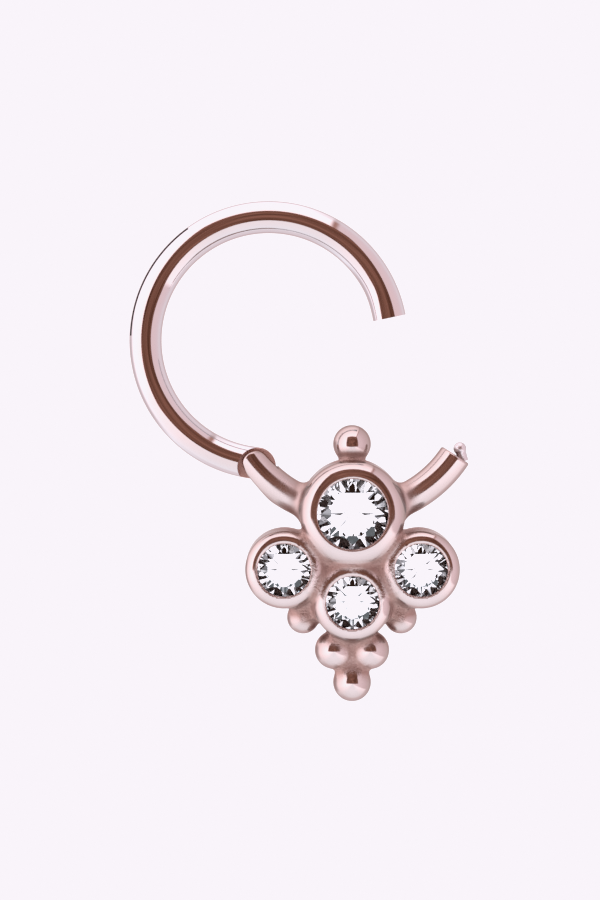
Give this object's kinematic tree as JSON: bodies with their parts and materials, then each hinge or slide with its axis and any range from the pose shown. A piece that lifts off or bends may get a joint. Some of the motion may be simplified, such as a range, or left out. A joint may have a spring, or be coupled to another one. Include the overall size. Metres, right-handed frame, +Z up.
{
  "type": "hinged clicker ring",
  "caption": "Hinged piercing ring of round wire whose curved gate carries a fan of bezel-set round stones edged with beads; shown open, lying flat on its back.",
  "frame": {"origin": "middle of the bounding box of the part as it lies, on the plane of the bezels' flat backs", "axes": "+Z up, out of the stones' tables; +Y from the cluster towards the hoop, along the line through the main and lower stones; +X towards the latch end of the gate"},
  "size_m": [0.0126, 0.0186, 0.002],
  "materials": {
    "rose_metal": "mirror-polished steel with a thin rose-gold coloured coat",
    "pin_metal": "polished steel with the same rose-gold coloured coat",
    "stone": "clear cut crystal, polished facets"
  },
  "bodies": {
    "gate": {"gate": "rose_metal", "hinge_pin": "pin_metal", "latch_pin": "pin_metal", "main_stone": "stone", "left_stone": "stone", "right_stone": "stone", "lower_stone": "stone"},
    "hoop": {"hoop": "rose_metal"}
  },
  "joints": [
    {"name": "gate_hinge", "type": "hinge", "parent": "gate", "child": "hoop", "pos_m": [-0.00158, -0.00059, 0.00063], "axis": [0, 0, 1], "range_deg": [-44.6, 59.4]}
  ]
}
